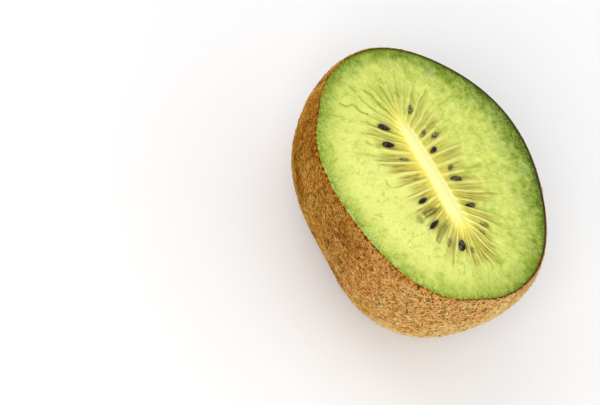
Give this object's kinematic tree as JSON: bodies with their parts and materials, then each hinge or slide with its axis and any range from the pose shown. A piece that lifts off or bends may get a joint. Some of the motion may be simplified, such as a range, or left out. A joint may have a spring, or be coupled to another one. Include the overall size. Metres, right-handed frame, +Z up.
{
  "type": "kiwi fruit half",
  "caption": "Half of a kiwi fruit cut lengthwise, with brown furry skin, bright green flesh, a pale core and small black seeds, lying on its skin with the cut face up",
  "frame": {"origin": "middle of the bounding box's underside, where the fruit rests on a small flat spot", "axes": "X along the core, Y across it, Z up, square to the cut face"},
  "size_m": [0.0628, 0.0488, 0.0303],
  "materials": {
    "fruit": "moist green flesh with a matt furry brown skin"
  },
  "bodies": {
    "root": {"kiwi_half": "fruit"}
  },
  "joints": []
}
